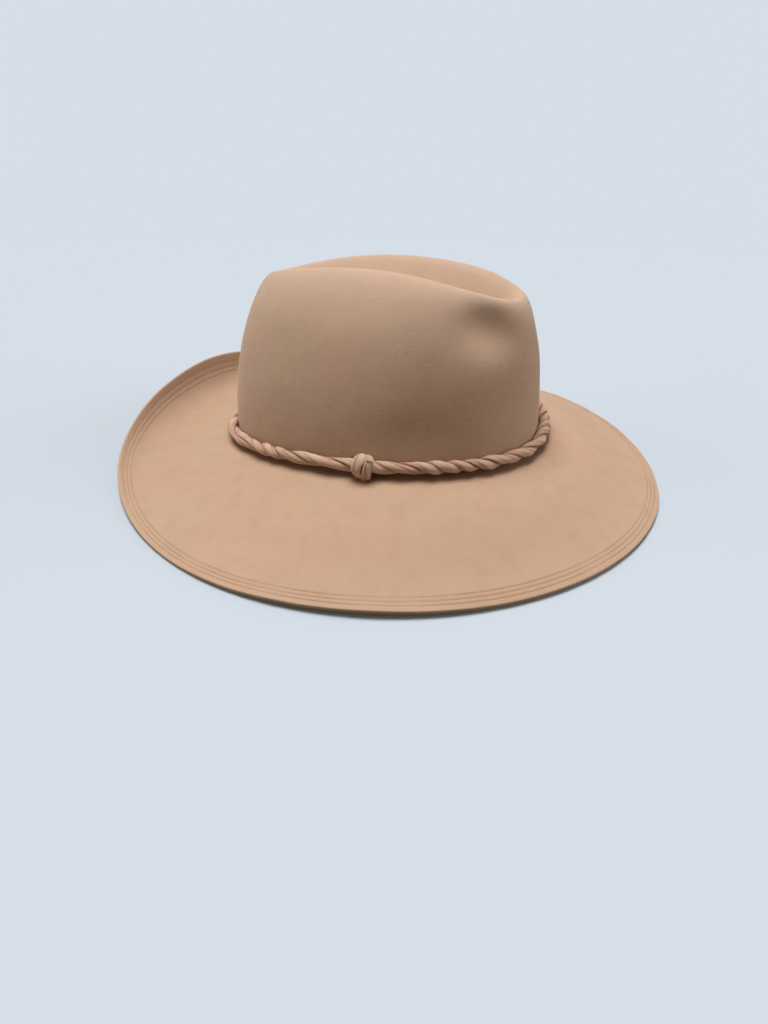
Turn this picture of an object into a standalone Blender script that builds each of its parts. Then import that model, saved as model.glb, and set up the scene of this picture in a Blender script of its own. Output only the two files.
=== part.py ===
"""Wide-brim felt hat with a twisted leather band, lying as it rests on a flat surface.

The wearer faces -Y, the wearer's left is +X and the surface is Z = 0. The brim touches
the surface at the front and at both sides, and is turned up behind. Lengths are in metres.
"""
import math
from bisect import bisect_right
from collections import namedtuple

import bpy
import numpy as np
from mathutils import Matrix, Vector

# Felt body, measured on its outside
HEAD_LENGTH = 0.204
HEAD_WIDTH = 0.174
HEAD_ROUNDNESS = 2.2            # exponent of the oval: 2 is an ellipse, more is squarer
BRIM_LENGTH = 0.353
BRIM_WIDTH = 0.346
BRIM_ROUNDNESS = 1.95
BRIM_TURN = 9.0                 # degrees by which the brim's form is turned on the crown
BRIM_SHIFT = -0.00101           # forward, to set the middle of its slanting edge at the origin
FELT_THICKNESS = 0.0022
BACK_RISE = 0.031               # height of the brim's edge behind
CURL_SHAPE = 7                  # exponent of the curl: more keeps it nearer to the edge
PRESSED = 0.0008                # felt nearer than this to the surface lies flat on it

# Break line, where the crown meets the brim
BREAK_HEIGHT = 0.020
BREAK_SAG = 0.003               # rise of the line at the sides, and what its table follows
BREAK_RADIUS = 0.005
REST_TILT = math.radians(4.3)   # the head opening leans back, because the back of the brim is up

# Crown
CROWN_HEIGHT = 0.1045           # from the break line to the highest part of the rim
TOP_LENGTH = 0.192              # the wall's oval at the top, before its edge is rounded
TOP_WIDTH = 0.132
TOP_ROUNDNESS = 2.4
TOP_SHIFT = -0.0085             # the top leans forward
FRONT_PINCH = 0.05              # share by which the top is narrower in front than in the middle
RIM_ROUNDING = 0.033            # how far the wall rounds inwards to the rim at the sides
ROUNDING_SHAPE = 2.05
LEAN_SHAPE = 1.65               # above 1, the wall is steep below and leans in above
HOLLOW_DEPTH = 0.022
HOLLOW_LENGTH = 0.112
HOLLOW_SHIFT = -0.004
DENT_DEPTH = 0.0070
DENT_SIZE = 0.030

# Band
BAND_RADIUS = 0.0036
BAND_HEIGHT = 0.0060            # of its centre line above the break line
BAND_LEAD = 0.0195              # length in which the strip makes one whole turn
BAND_WAIST = 0.33               # share of the radius by which the strip is thinner than it is wide
KNOT_ANGLE = -73.7              # degrees from the front, towards the wearer's right
KNOT_LENGTH = 0.0142            # along the band
KNOT_HEIGHT = 0.0138
KNOT_DEPTH = 0.0120
KNOT_GROOVE = 0.0011
KNOT_FULLNESS = 2.4             # exponent of its outline: 2 is an ellipse, more is fuller
KNOT_SLANT = 1.2                # radians by which its grooves lean as they go round it
KNOT_GROOVE_EDGE = 8            # more makes the grooves narrower
GAP = 0.0003                    # between pieces that touch
END_GAP = 0.0005                # between the knot and the middle of the band's ends

# Fineness of the meshes
SPOKES = 64
BAND_RINGS = 331
BAND_SIDES = 6
KNOT_RINGS = 13
KNOT_SIDES = 24

BreakRow = namedtuple("BreakRow", "angle level")
BrimRow = namedtuple("BrimRow", "angle rise slope_in slope_out curl")
CrownRow = namedtuple("CrownRow", "angle height rounding")
DentRow = namedtuple("DentRow", "angle height depth width tall")

# Round the break line, in degrees from the front: its height as a share of BREAK_SAG.
BREAK = (
    BreakRow(0, -1.80),
    BreakRow(28, -0.50),
    BreakRow(55, 0.80),
    BreakRow(90, 1.00),
    BreakRow(135, 0.00),
    BreakRow(180, -1.00),
)

# Round the brim, in degrees from the front: the edge's height as a share of BACK_RISE, the
# slope of the brim where it leaves the crown and at its edge, and how much of the edge's
# height, as a share of BACK_RISE, comes from the curl near the edge.
BRIM = (
    BrimRow(0, 0.00, -0.22, -0.40, 0.00),
    BrimRow(30, 0.02, -0.24, -0.36, 0.00),
    BrimRow(60, 0.07, -0.27, -0.22, 0.00),
    BrimRow(100, 0.00, -0.30, -0.06, 0.00),
    BrimRow(135, 0.32, -0.22, 0.12, 0.26),
    BrimRow(160, 0.72, -0.12, 0.22, 0.60),
    BrimRow(180, 0.95, -0.08, 0.26, 0.79),
)

# Round the crown: height of the rim as a share of CROWN_HEIGHT, and inward rounding as a
# share of RIM_ROUNDING.
CROWN = (
    CrownRow(0, 0.81, 0.45),
    CrownRow(90, 1.00, 1.00),
    CrownRow(180, 0.95, 0.52),
)

# Hollows pressed into the crown's wall. Height is a share of the rim's height there, depth
# of DENT_DEPTH, and width and tallness of DENT_SIZE.
DENTS = (
    DentRow(-33, 0.82, 1.00, 0.75, 0.50),
    DentRow(33, 0.82, 1.00, 0.75, 0.50),
    DentRow(-61, 0.23, 0.25, 0.80, 0.45),
)

# Shares of the way from the brim's edge to the crown, across the rounded break, up the wall
# and from the rim down to the middle of the hollow, where the felt's rows of points lie
BRIM_SHARES = (0.0, 0.04, 0.09, 0.16, 0.25, 0.36, 0.50, 0.66, 0.83, 1.0)
BREAK_SHARES = (0.33, 0.67, 1.0)
WALL_SHARES = (0.07, 0.16, 0.26, 0.37, 0.48, 0.59, 0.70, 0.80, 0.90, 1.0)
HOLLOW_SHARES = (0.22, 0.44, 0.66, 0.86)


def start_clean():
    """Remove whatever the scene holds."""
    for thing in list(bpy.data.objects):
        bpy.data.objects.remove(thing, do_unlink=True)


def material(name, colour, roughness):
    """A plain dielectric finish."""
    made = bpy.data.materials.new(name)
    made.use_nodes = True
    shader = made.node_tree.nodes["Principled BSDF"]
    shader.inputs["Base Color"].default_value = (*colour, 1.0)
    shader.inputs["Roughness"].default_value = roughness
    shader.inputs["Metallic"].default_value = 0.0
    return made


def add_object(name, points, faces, finish):
    """A smooth-shaded object from points and faces."""
    mesh = bpy.data.meshes.new(name)
    mesh.from_pydata([tuple(p) for p in points], [], faces)
    mesh.validate()
    mesh.shade_smooth()
    mesh.set_sharp_from_angle(angle=math.radians(50))
    mesh.materials.append(finish)
    thing = bpy.data.objects.new(name, mesh)
    bpy.context.scene.collection.objects.link(thing)
    return thing


def table_value(rows, name, degrees):
    """A column's value at an angle, on a smooth curve that is the same on both sides."""
    knots = [row.angle for row in rows]
    values = [getattr(row, name) for row in rows]
    degrees = abs((degrees + 180.0) % 360.0 - 180.0)
    left = min(max(bisect_right(knots, degrees) - 1, 0), len(knots) - 2)
    right = left + 1

    def slope(k):
        if k in (0, len(knots) - 1):
            return 0.0
        return (values[k + 1] - values[k - 1]) / (knots[k + 1] - knots[k - 1])

    span = knots[right] - knots[left]
    t = (degrees - knots[left]) / span
    return hermite(t, values[left], slope(left) * span, values[right], slope(right) * span)


def hermite(t, start, start_slope, end, end_slope):
    """A cubic from start to end with the given slopes, for t from 0 to 1."""
    rise = t * t * (3.0 - 2.0 * t)
    return (start * (1.0 - rise) + end * rise
            + start_slope * t * (1.0 - t) ** 2 - end_slope * t * t * (1.0 - t))


def column(rows, name, angles):
    """A table's column at each of the angles."""
    return np.array([table_value(rows, name, degrees) for degrees in angles])


def oval(length, width, roundness, angles):
    """Plan points of a superellipse, from the front round by the wearer's left."""
    turn = np.radians(angles)
    across, along = np.sin(turn), -np.cos(turn)
    reach = (np.abs(across) ** roundness + np.abs(along) ** roundness) ** (-1.0 / roundness)
    return np.stack([across * reach * width / 2, along * reach * length / 2], axis=1)


def outward(plan):
    """Unit normals of a closed plan curve, pointing away from its middle."""
    along = np.roll(plan, -1, axis=0) - np.roll(plan, 1, axis=0)
    normal = np.stack([along[:, 1], -along[:, 0]], axis=1)
    return normal / np.linalg.norm(normal, axis=1)[:, None]


def rest(plan, height):
    """Places points measured from the break line in the pose in which the hat rests."""
    lean, lift = math.cos(REST_TILT), math.sin(REST_TILT)
    height = np.broadcast_to(height, plan[:, 0].shape)
    along = plan[:, 1] * lean + height * lift
    up = BREAK_HEIGHT - plan[:, 1] * lift + height * lean
    return np.stack([plan[:, 0], along, up], axis=1)


def break_line(angles):
    """Plan, outward normals and height of the line where crown and brim would meet."""
    plan = oval(HEAD_LENGTH, HEAD_WIDTH, HEAD_ROUNDNESS, angles)
    return plan, outward(plan), BREAK_SAG * column(BREAK, "level", angles)


def brim_rows(angles):
    """Rows of points from the brim's edge to the foot of the crown."""
    plan, normal, level = break_line(angles)
    foot = rest(plan + normal * BREAK_RADIUS, level)
    edge = oval(BRIM_LENGTH, BRIM_WIDTH, BRIM_ROUNDNESS, angles) + (0.0, BRIM_SHIFT)
    turned = angles + BRIM_TURN
    curl = column(BRIM, "curl", turned) * BACK_RISE
    top_of_edge = column(BRIM, "rise", turned) * BACK_RISE + FELT_THICKNESS - curl
    width = np.linalg.norm(edge - foot[:, :2], axis=1)
    slope_in = column(BRIM, "slope_in", turned) * width
    slope_out = column(BRIM, "slope_out", turned) * width
    rows = []
    for share in BRIM_SHARES:
        out = 1.0 - share
        flat = foot[:, :2] + (edge - foot[:, :2]) * out
        height = hermite(out, foot[:, 2], slope_in, top_of_edge, slope_out)
        rows.append(np.column_stack([flat, height + curl * out ** CURL_SHAPE]))
    return rows


def break_rows(angles):
    """Rows of points over the rounded corner between brim and crown."""
    plan, normal, level = break_line(angles)
    rows = []
    for share in BREAK_SHARES:
        turn = share * math.pi / 2
        out = BREAK_RADIUS * (1.0 - math.sin(turn))
        up = BREAK_RADIUS * (1.0 - math.cos(turn))
        rows.append(rest(plan + normal * out, level + up))
    return rows


def dent_depth(angles, share):
    """How far the crown's dents push its wall in, at a share of the rim's height."""
    depth = np.zeros(len(angles))
    girth = math.pi * (HEAD_LENGTH + HEAD_WIDTH) / 2
    for dent in DENTS:
        aside = ((angles - dent.angle + 180.0) % 360.0 - 180.0) / 360.0 * girth
        above = (share - dent.height) * CROWN_HEIGHT
        spread = (aside / (dent.width * DENT_SIZE)) ** 2 + (above / (dent.tall * DENT_SIZE)) ** 2
        depth += dent.depth * DENT_DEPTH * np.exp(-spread)
    return depth


def top_oval(angles):
    """Plan of the crown's wall at the top, narrower in front and shifted forward."""
    plan = oval(TOP_LENGTH, TOP_WIDTH, TOP_ROUNDNESS, angles)
    plan[:, 0] *= 1.0 - FRONT_PINCH * np.cos(np.radians(angles))
    plan[:, 1] += TOP_SHIFT
    return plan


def wall_rows(angles):
    """Rows of points up the crown's wall to its rim."""
    foot, normal, level = break_line(angles)
    top = top_oval(angles)
    top_normal = outward(top)
    rim_height = column(CROWN, "height", angles) * CROWN_HEIGHT
    rounding = column(CROWN, "rounding", angles) * RIM_ROUNDING
    start = level + BREAK_RADIUS
    rows = []
    for share in WALL_SHARES:
        turn = share * math.pi / 2
        climbed = math.sin(turn) ** (2.0 / ROUNDING_SHAPE)
        rounded = 1.0 - math.cos(turn) ** (2.0 / ROUNDING_SHAPE)
        leaning = climbed ** LEAN_SHAPE
        height = start + (rim_height - start) * climbed
        plan = foot * (1.0 - leaning) + top * leaning - top_normal * (rounding * rounded)[:, None]
        plan = plan - normal * dent_depth(angles, height / rim_height)[:, None]
        rows.append(rest(plan, height))
    return rows


def hollow_rows(angles):
    """Rows from the rim down into the hollow, and the spine in which the two sides meet."""
    top = top_oval(angles)
    rounding = column(CROWN, "rounding", angles) * RIM_ROUNDING
    rim = top - outward(top) * rounding[:, None]
    rim_height = column(CROWN, "height", angles) * CROWN_HEIGHT
    along = TOP_SHIFT + HOLLOW_SHIFT - HOLLOW_LENGTH / 2 * np.cos(np.radians(angles))
    spine = np.stack([np.zeros(len(angles)), along], axis=1)
    rows = []
    for share in HOLLOW_SHARES + (1.0,):
        plan = rim * (1.0 - share) + spine * share
        drop = HOLLOW_DEPTH * share * share * (3.0 - 2.0 * share)
        rows.append(rest(plan, rim_height - drop))
    return rows


def felt_skin():
    """Points and faces of the hat's outer side, one sheet from edge to spine."""
    angles = (np.arange(SPOKES) + 0.5) * 360.0 / SPOKES
    rows = brim_rows(angles) + break_rows(angles) + wall_rows(angles) + hollow_rows(angles)
    points = [point for row in rows[:-1] for point in row]
    spine_start = len(points)
    half = SPOKES // 2
    points += list(rows[-1][:half])
    faces = []
    for row in range(len(rows) - 1):
        for spoke in range(SPOKES):
            after = (spoke + 1) % SPOKES
            low = [row * SPOKES + spoke, row * SPOKES + after]
            if row < len(rows) - 2:
                faces.append((low[0], low[1], low[1] + SPOKES, low[0] + SPOKES))
                continue
            high = [spine_start + min(k, SPOKES - 1 - k) for k in (after, spoke)]
            faces.append(tuple(low + (high if high[0] != high[1] else high[:1])))
    return points, faces


def make_felt_body(finish):
    """Crown and brim: the outer sheet, the same sheet moved in by the felt's thickness, and
    the cut edge that joins them. Where the brim meets the surface it lies flat on it."""
    points, faces = felt_skin()
    sheet = bpy.data.meshes.new("sheet")
    sheet.from_pydata([tuple(p) for p in points], [], faces)
    inner = []
    for vertex in sheet.vertices:
        moved = vertex.co - vertex.normal * FELT_THICKNESS
        if moved.z < PRESSED:
            moved.z = 0.0
        inner.append(moved)
    count = len(points)
    inner_faces = [tuple(count + k for k in reversed(face)) for face in faces]
    edge_faces = []
    for spoke in range(SPOKES):
        after = (spoke + 1) % SPOKES
        edge_faces.append((after, spoke, count + spoke, count + after))
    bpy.data.meshes.remove(sheet)
    return add_object("felt_body", list(points) + inner, faces + inner_faces + edge_faces, finish)


def band_offset():
    """Distance of the band's centre line from the crown's wall, clear of the rounded break."""
    beside_wall = BAND_RADIUS + GAP
    below_centre = max(BREAK_RADIUS - BAND_HEIGHT, 0.0)
    reach = BREAK_RADIUS - GAP - BAND_RADIUS
    if reach <= below_centre:
        return max(beside_wall, BREAK_RADIUS)
    return max(beside_wall, BREAK_RADIUS - math.sqrt(reach ** 2 - below_centre ** 2))


def band_path(degrees):
    """Points on the band's centre line."""
    fine = np.arange(0.0, 360.0, 0.5)
    plan, normal, level = break_line(fine)
    ring = rest(plan + normal * band_offset(), level + BAND_HEIGHT)
    wrapped = np.mod(degrees, 360.0)
    return np.stack([np.interp(wrapped, fine, ring[:, k], period=360.0) for k in range(3)], axis=1)


def path_frame(degrees):
    """Matrix at one place of the band: X along it, Y up, Z out from the crown."""
    step = 0.5
    before, here, after = (Vector(p) for p in band_path([degrees - step, degrees, degrees + step]))
    along = (after - before).normalized()
    up = Vector((0.0, math.sin(REST_TILT), math.cos(REST_TILT)))
    out = along.cross(up).normalized()
    frame = Matrix((along, out.cross(along), out)).transposed().to_4x4()
    frame.translation = here
    return frame


def angle_past(degrees, distance):
    """The angle reached by going a distance along the band."""
    step = 0.05 if distance > 0.0 else -0.05
    left = abs(distance)
    here = Vector(band_path([degrees])[0])
    while left > 0.0:
        degrees += step
        there = Vector(band_path([degrees])[0])
        left -= (there - here).length
        here = there
    return degrees


def band_angles():
    """First and last angle of the band, on either side of the knot."""
    reach = KNOT_LENGTH / 2 + END_GAP
    return angle_past(KNOT_ANGLE, reach), angle_past(KNOT_ANGLE, -reach) + 360.0


def tube_faces(rings, sides):
    """Faces of a tube of rings, with its two ends closed."""
    faces = [tuple(reversed(range(sides)))]
    for ring in range(rings - 1):
        for side in range(sides):
            after = (side + 1) % sides
            low = ring * sides
            faces.append((low + side, low + after, low + sides + after, low + sides + side))
    faces.append(tuple((rings - 1) * sides + side for side in range(sides)))
    return faces


def make_twisted_band(finish):
    """The twisted strip: a section wider than it is thick, which turns as it goes along."""
    first, last = band_angles()
    angles = np.linspace(first, last, BAND_RINGS)
    centres = band_path(angles)
    walked = np.concatenate([[0.0], np.cumsum(np.linalg.norm(np.diff(centres, axis=0), axis=1))])
    points = []
    for degrees, distance in zip(angles, walked):
        frame = path_frame(degrees)
        for side in range(BAND_SIDES):
            place = side * 2.0 * math.pi / BAND_SIDES
            radius = BAND_RADIUS * (1.0 - BAND_WAIST * math.sin(place) ** 2)
            turn = place + 2.0 * math.pi * distance / BAND_LEAD
            points.append(frame @ Vector((0.0, math.cos(turn) * radius, math.sin(turn) * radius)))
    return add_object("twisted_band", points, tube_faces(BAND_RINGS, BAND_SIDES), finish)


def make_knot(finish):
    """The knot: a plump body with flat ends for the band and grooves between its wraps."""
    frame = path_frame(KNOT_ANGLE)
    shift_out = KNOT_DEPTH / 2 + GAP - band_offset()
    shift_up = KNOT_HEIGHT / 2 + GAP - BAND_HEIGHT
    points = []
    for ring in range(KNOT_RINGS):
        along = -math.cos(math.pi * ring / (KNOT_RINGS - 1))
        bulge = (1.0 - abs(along) ** KNOT_FULLNESS) ** (1.0 / KNOT_FULLNESS)
        half_depth = BAND_RADIUS + (KNOT_DEPTH / 2 - BAND_RADIUS) * bulge
        half_height = BAND_RADIUS + (KNOT_HEIGHT / 2 - BAND_RADIUS) * bulge
        for side in range(KNOT_SIDES):
            turn = side * 2.0 * math.pi / KNOT_SIDES
            winding = math.cos(2.0 * math.pi * along + KNOT_SLANT * math.sin(turn))
            groove = KNOT_GROOVE * bulge * winding ** KNOT_GROOVE_EDGE
            up = (half_height - groove) * math.cos(turn) + shift_up * bulge
            out = (half_depth - groove) * math.sin(turn) + shift_out * bulge
            points.append(frame @ Vector((along * KNOT_LENGTH / 2, up, out)))
    return add_object("knot", points, tube_faces(KNOT_RINGS, KNOT_SIDES), finish)


def main():
    start_clean()
    felt = material("tan_felt", (0.47, 0.32, 0.22), 0.95)
    leather = material("tan_leather", (0.42, 0.25, 0.16), 0.70)
    make_felt_body(felt)
    make_twisted_band(leather)
    make_knot(leather)


main()
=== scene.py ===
"""Looks of a wide-brim felt hat: felt with a stitched edge, a twisted suede band and its knot.

The hat lies on a pale floor at Z = 0. The wearer faces -Y and the wearer's left is +X.
Lengths are in metres and angles round the hat are in degrees from the front, towards the
wearer's left. The felt, band and knot are modelled finely where the packed solids are plain.
"""

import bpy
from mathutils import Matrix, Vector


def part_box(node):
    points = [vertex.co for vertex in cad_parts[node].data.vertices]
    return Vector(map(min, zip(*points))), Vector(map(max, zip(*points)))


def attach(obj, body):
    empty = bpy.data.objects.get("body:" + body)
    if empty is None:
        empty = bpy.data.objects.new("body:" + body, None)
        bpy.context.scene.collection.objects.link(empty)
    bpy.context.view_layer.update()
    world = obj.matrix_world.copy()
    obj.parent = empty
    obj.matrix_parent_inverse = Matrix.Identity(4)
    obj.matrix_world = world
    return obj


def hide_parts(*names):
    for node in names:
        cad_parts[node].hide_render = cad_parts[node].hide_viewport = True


bl_info = {
    "name": "Wide-Brim Felt Hat",
    "version": (1, 0, 0),
    "blender": (4, 5, 0),
    "location": "3D Viewport > Sidebar > Hat",
    "description": "Models the felt, stitching, band and knot of a wide-brim hat on its frame",
    "category": "Object",
}

import math
from collections import namedtuple

import bpy
import numpy as np
from bpy.props import FloatProperty, FloatVectorProperty, IntProperty, PointerProperty
from mathutils import Matrix, Vector, noise

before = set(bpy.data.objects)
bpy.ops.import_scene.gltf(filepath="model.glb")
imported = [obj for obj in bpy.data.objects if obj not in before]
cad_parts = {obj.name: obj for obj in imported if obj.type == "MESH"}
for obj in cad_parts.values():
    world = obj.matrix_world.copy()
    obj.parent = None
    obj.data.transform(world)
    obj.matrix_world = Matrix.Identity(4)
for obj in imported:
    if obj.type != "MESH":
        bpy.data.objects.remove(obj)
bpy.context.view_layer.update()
KNOT_LOW, KNOT_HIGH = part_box("knot")

BreakRow = namedtuple("BreakRow", "angle level")
BrimRow = namedtuple("BrimRow", "angle rise slope_in slope_out curl")
CrownRow = namedtuple("CrownRow", "angle height rounding")
DentRow = namedtuple("DentRow", "angle height depth width tall")
FoldRow = namedtuple("FoldRow", "place depth sharp soft wander length phase")
SwingRow = namedtuple("SwingRow", "length turns phase")
SwellRow = namedtuple("SwellRow", "size share shift")
WrapRow = namedtuple("WrapRow", "turn middle width lift")

# Round the break line: its height as a share of the break's sag.
BREAK = (
    BreakRow(0, -1.80),
    BreakRow(28, -0.50),
    BreakRow(55, 0.80),
    BreakRow(90, 1.00),
    BreakRow(135, 0.00),
    BreakRow(180, -1.00),
)

# Round the brim: the edge's height as a share of its rise behind, the slope of the brim where
# it leaves the crown and at its edge, and the share of that rise that comes from the edge's curl.
BRIM = (
    BrimRow(0, 0.00, -0.22, -0.40, 0.00),
    BrimRow(30, 0.02, -0.24, -0.36, 0.00),
    BrimRow(60, 0.07, -0.27, -0.22, 0.00),
    BrimRow(100, 0.00, -0.30, -0.06, 0.00),
    BrimRow(135, 0.32, -0.22, 0.12, 0.26),
    BrimRow(160, 0.72, -0.12, 0.22, 0.60),
    BrimRow(180, 0.95, -0.08, 0.26, 0.79),
)

# Round the crown: height of the rim as a share of the crown's, and inward rounding as a share
# of the rim's rounding.
CROWN = (
    CrownRow(0, 0.81, 0.45),
    CrownRow(90, 1.00, 1.00),
    CrownRow(180, 0.95, 0.52),
)

# Hollows pressed into the crown's wall. Height is a share of the rim's height there, depth of
# the dents' depth, and width and tallness of the dents' size.
DENTS = (
    DentRow(-33, 0.82, 1.00, 0.75, 0.50),
    DentRow(33, 0.82, 1.00, 0.75, 0.50),
    DentRow(-61, 0.23, 0.25, 0.80, 0.45),
)

# Folds along the twisted strip: place round its section in turns, depth as a share of the
# radius, width in turns of the steep side and of the gentle side, how far it wanders in turns,
# and the length in metres and phase in turns of that wandering.
FOLDS = (
    FoldRow(0.25, 0.30, 0.022, 0.120, 0.025, 0.083, 0.10),
    FoldRow(0.76, 0.26, 0.020, 0.110, 0.035, 0.061, 0.55),
    FoldRow(0.50, 0.09, 0.014, 0.060, 0.060, 0.071, 0.35),
    FoldRow(0.10, 0.07, 0.012, 0.050, 0.050, 0.047, 0.30),
    FoldRow(0.90, 0.06, 0.010, 0.040, 0.045, 0.038, 0.80),
)

# Slow swings of the twist: length in metres, size in turns and phase in turns.
TWIST_SWINGS = (
    SwingRow(0.085, 0.13, 0.3),
    SwingRow(0.141, 0.17, 0.8),
    SwingRow(0.052, 0.06, 0.1),
)

# Where the twisted strip swells: length of a swell in metres, its size as a share of the
# radius, and its shift in radians.
STRIP_SWELLS = (
    SwellRow(0.031, 0.05, 0.0),
    SwellRow(0.0173, 0.04, 1.0),
)

# Soft unevenness of the felt: size of the bumps in metres, their height as a share of the
# waviness, and a shift that keeps the two patterns apart.
FELT_SWELLS = (
    SwellRow(0.034, 1.0, 3.0),
    SwellRow(0.011, 0.4, 9.0),
)

# Rows of points over the brim, the break, the crown's wall and the hollow in its top.
BRIM_STEPS, BREAK_STEPS, WALL_STEPS, HOLLOW_STEPS = 24, 6, 34, 16

# Distances from the edge, in metres, of the rows of points over its rounding.
EDGE_ROWS = (0.0, 0.0002, 0.0005)

# Rings of points in the knot's core, wraps and tip, and points round each ring.
CORE_RINGS, CORE_SIDES = 24, 40
WRAP_RINGS, WRAP_SIDES = 120, 40
TIP_RINGS, TIP_SIDES = 20, 20

# The two flat strips that go round the knot, in degrees from its top over its front: middle
# and width as shares of the knot's length, and how far the strip lies out, in its thicknesses.
WIDE_WRAP = (
    WrapRow(0, -0.10, 0.50, 0.0),
    WrapRow(45, -0.13, 0.54, 0.0),
    WrapRow(90, -0.205, 0.44, 0.0),
    WrapRow(135, -0.13, 0.46, -0.2),
    WrapRow(180, -0.02, 0.42, -0.5),
    WrapRow(270, -0.10, 0.40, 0.0),
)
NARROW_WRAP = (
    WrapRow(0, 0.27, 0.25, 0.3),
    WrapRow(45, 0.29, 0.28, 0.5),
    WrapRow(90, 0.235, 0.33, 0.4),
    WrapRow(135, 0.17, 0.37, 0.6),
    WrapRow(180, 0.10, 0.34, 0.7),
    WrapRow(270, 0.20, 0.30, 0.3),
)


def size_setting(name, default, description):
    """A length in metres that a user can change."""
    return FloatProperty(name=name, description=description, default=default, unit="LENGTH")


def angle_setting(name, degrees, description):
    """An angle that a user can change, given here in degrees."""
    return FloatProperty(
        name=name, description=description, default=math.radians(degrees), subtype="ANGLE")


def number_setting(name, default, description):
    """A share, strength or exponent that a user can change."""
    return FloatProperty(name=name, description=description, default=default)


def count_setting(name, default, description, least):
    """A whole number that a user can change."""
    return IntProperty(name=name, description=description, default=default, min=least)


def colour_setting(name, default, description):
    """A colour that a user can change."""
    return FloatVectorProperty(
        name=name, description=description, default=default, subtype="COLOR", size=3,
        min=0.0, max=1.0)


class HatShape(bpy.types.PropertyGroup):
    """Sizes of the felt, measured on its outside."""

    head_length: size_setting("Head Length", 0.204, "Crown at the break line, front to back")
    head_width: size_setting("Head Width", 0.174, "Crown at the break line, side to side")
    head_roundness: number_setting(
        "Head Roundness", 2.2, "Exponent of the oval: 2 is an ellipse, more is squarer")
    brim_length: size_setting("Brim Length", 0.353, "Brim's edge, front to back")
    brim_width: size_setting("Brim Width", 0.346, "Brim's edge, side to side")
    brim_roundness: number_setting("Brim Roundness", 1.95, "Exponent of the brim's oval")
    brim_turn: number_setting(
        "Brim Turn", 9.0, "Degrees by which the brim's form is turned on the crown")
    brim_shift: size_setting("Brim Shift", -0.00101, "Place of the brim's oval along Y")
    thickness: size_setting("Felt Thickness", 0.0022, "Thickness of the felt")
    back_rise: size_setting("Back Rise", 0.031, "Height of the brim's edge behind")
    curl_shape: number_setting("Curl Shape", 7.0, "Exponent of the edge's curl behind")
    break_height: size_setting("Break Height", 0.020, "Height of the break line over the floor")
    break_sag: size_setting("Break Sag", 0.003, "Rise of the break line at the sides")
    break_radius: size_setting("Break Radius", 0.005, "Rounding between crown and brim")
    rest_tilt: angle_setting("Rest Tilt", 4.3, "How far the head opening leans back")
    crown_height: size_setting("Crown Height", 0.1045, "From the break line to the top of the rim")
    top_length: size_setting("Top Length", 0.192, "Wall's oval at the top, front to back")
    top_width: size_setting("Top Width", 0.132, "Wall's oval at the top, side to side")
    top_roundness: number_setting("Top Roundness", 2.4, "Exponent of the top's oval")
    top_shift: size_setting("Top Shift", -0.0085, "Place of the top along Y")
    front_pinch: number_setting("Front Pinch", 0.05, "Share by which the top is narrower in front")
    rim_rounding: size_setting("Rim Rounding", 0.033, "How far the wall rounds inwards to the rim")
    rounding_shape: number_setting("Rounding Shape", 2.05, "Exponent of the wall's rounding")
    lean_shape: number_setting(
        "Lean Shape", 1.65, "Above 1, the wall is steep below and leans in above")
    hollow_depth: size_setting("Hollow Depth", 0.022, "Depth of the crease in the crown's top")
    hollow_length: size_setting("Hollow Length", 0.112, "Length of the crease's floor")
    hollow_shift: size_setting("Hollow Shift", -0.004, "Place of the crease's floor along Y")
    dent_depth: size_setting("Dent Depth", 0.0070, "Depth of the deepest dent")
    dent_size: size_setting("Dent Size", 0.030, "Size that the dents' widths follow")
    waviness: size_setting("Waviness", 0.00035, "Height of the felt's soft unevenness")
    spokes: count_setting("Spokes", 360, "Points round the hat", 24)


class StitchSizes(bpy.types.PropertyGroup):
    """Rows of stitching along the brim's edge."""

    rows: count_setting("Rows", 3, "Number of stitched rows", 1)
    inset: size_setting("Inset", 0.0027, "Distance of the first row from the edge")
    spacing: size_setting("Spacing", 0.0021, "Distance between rows")
    groove_depth: size_setting("Groove Depth", 0.00020, "How deep the thread pulls the felt in")
    groove_width: size_setting("Groove Width", 0.00042, "Half width of the pulled groove")
    pitch: size_setting("Pitch", 0.0019, "Distance from stitch to stitch")
    length: size_setting("Length", 0.0014, "Length of one stitch")
    thread: size_setting("Thread", 0.00030, "Thickness of the thread")


class BandSizes(bpy.types.PropertyGroup):
    """The twisted strip round the foot of the crown."""

    radius: size_setting("Radius", 0.0036, "Half the thickness of the twisted strip")
    height: size_setting("Height", 0.0060, "Height of its centre line above the break line")
    lead: size_setting("Lead", 0.0340, "Length of one whole turn of the twist")
    slackening: number_setting(
        "Slackening", 0.30, "Share by which the twist is tighter where it begins")
    waist: number_setting("Waist", 0.20, "Share by which the section is thinner than it is wide")
    gap: size_setting("Gap", 0.0003, "Room between the strip and the felt")
    rings: count_setting("Rings", 1000, "Sections along the band", 50)
    sides: count_setting("Sides", 64, "Points round a section", 12)


class KnotSizes(bpy.types.PropertyGroup):
    """The knot that ties the strip."""

    length: size_setting("Length", 0.0142, "Length along the band")
    height: size_setting("Height", 0.0146, "From top to bottom")
    depth: size_setting("Depth", 0.0120, "From the crown outwards")
    strip: size_setting("Strip", 0.0011, "Thickness of the flat strip")
    drop: size_setting("Drop", -0.0006, "How far the knot's middle lies below the band's")


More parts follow.
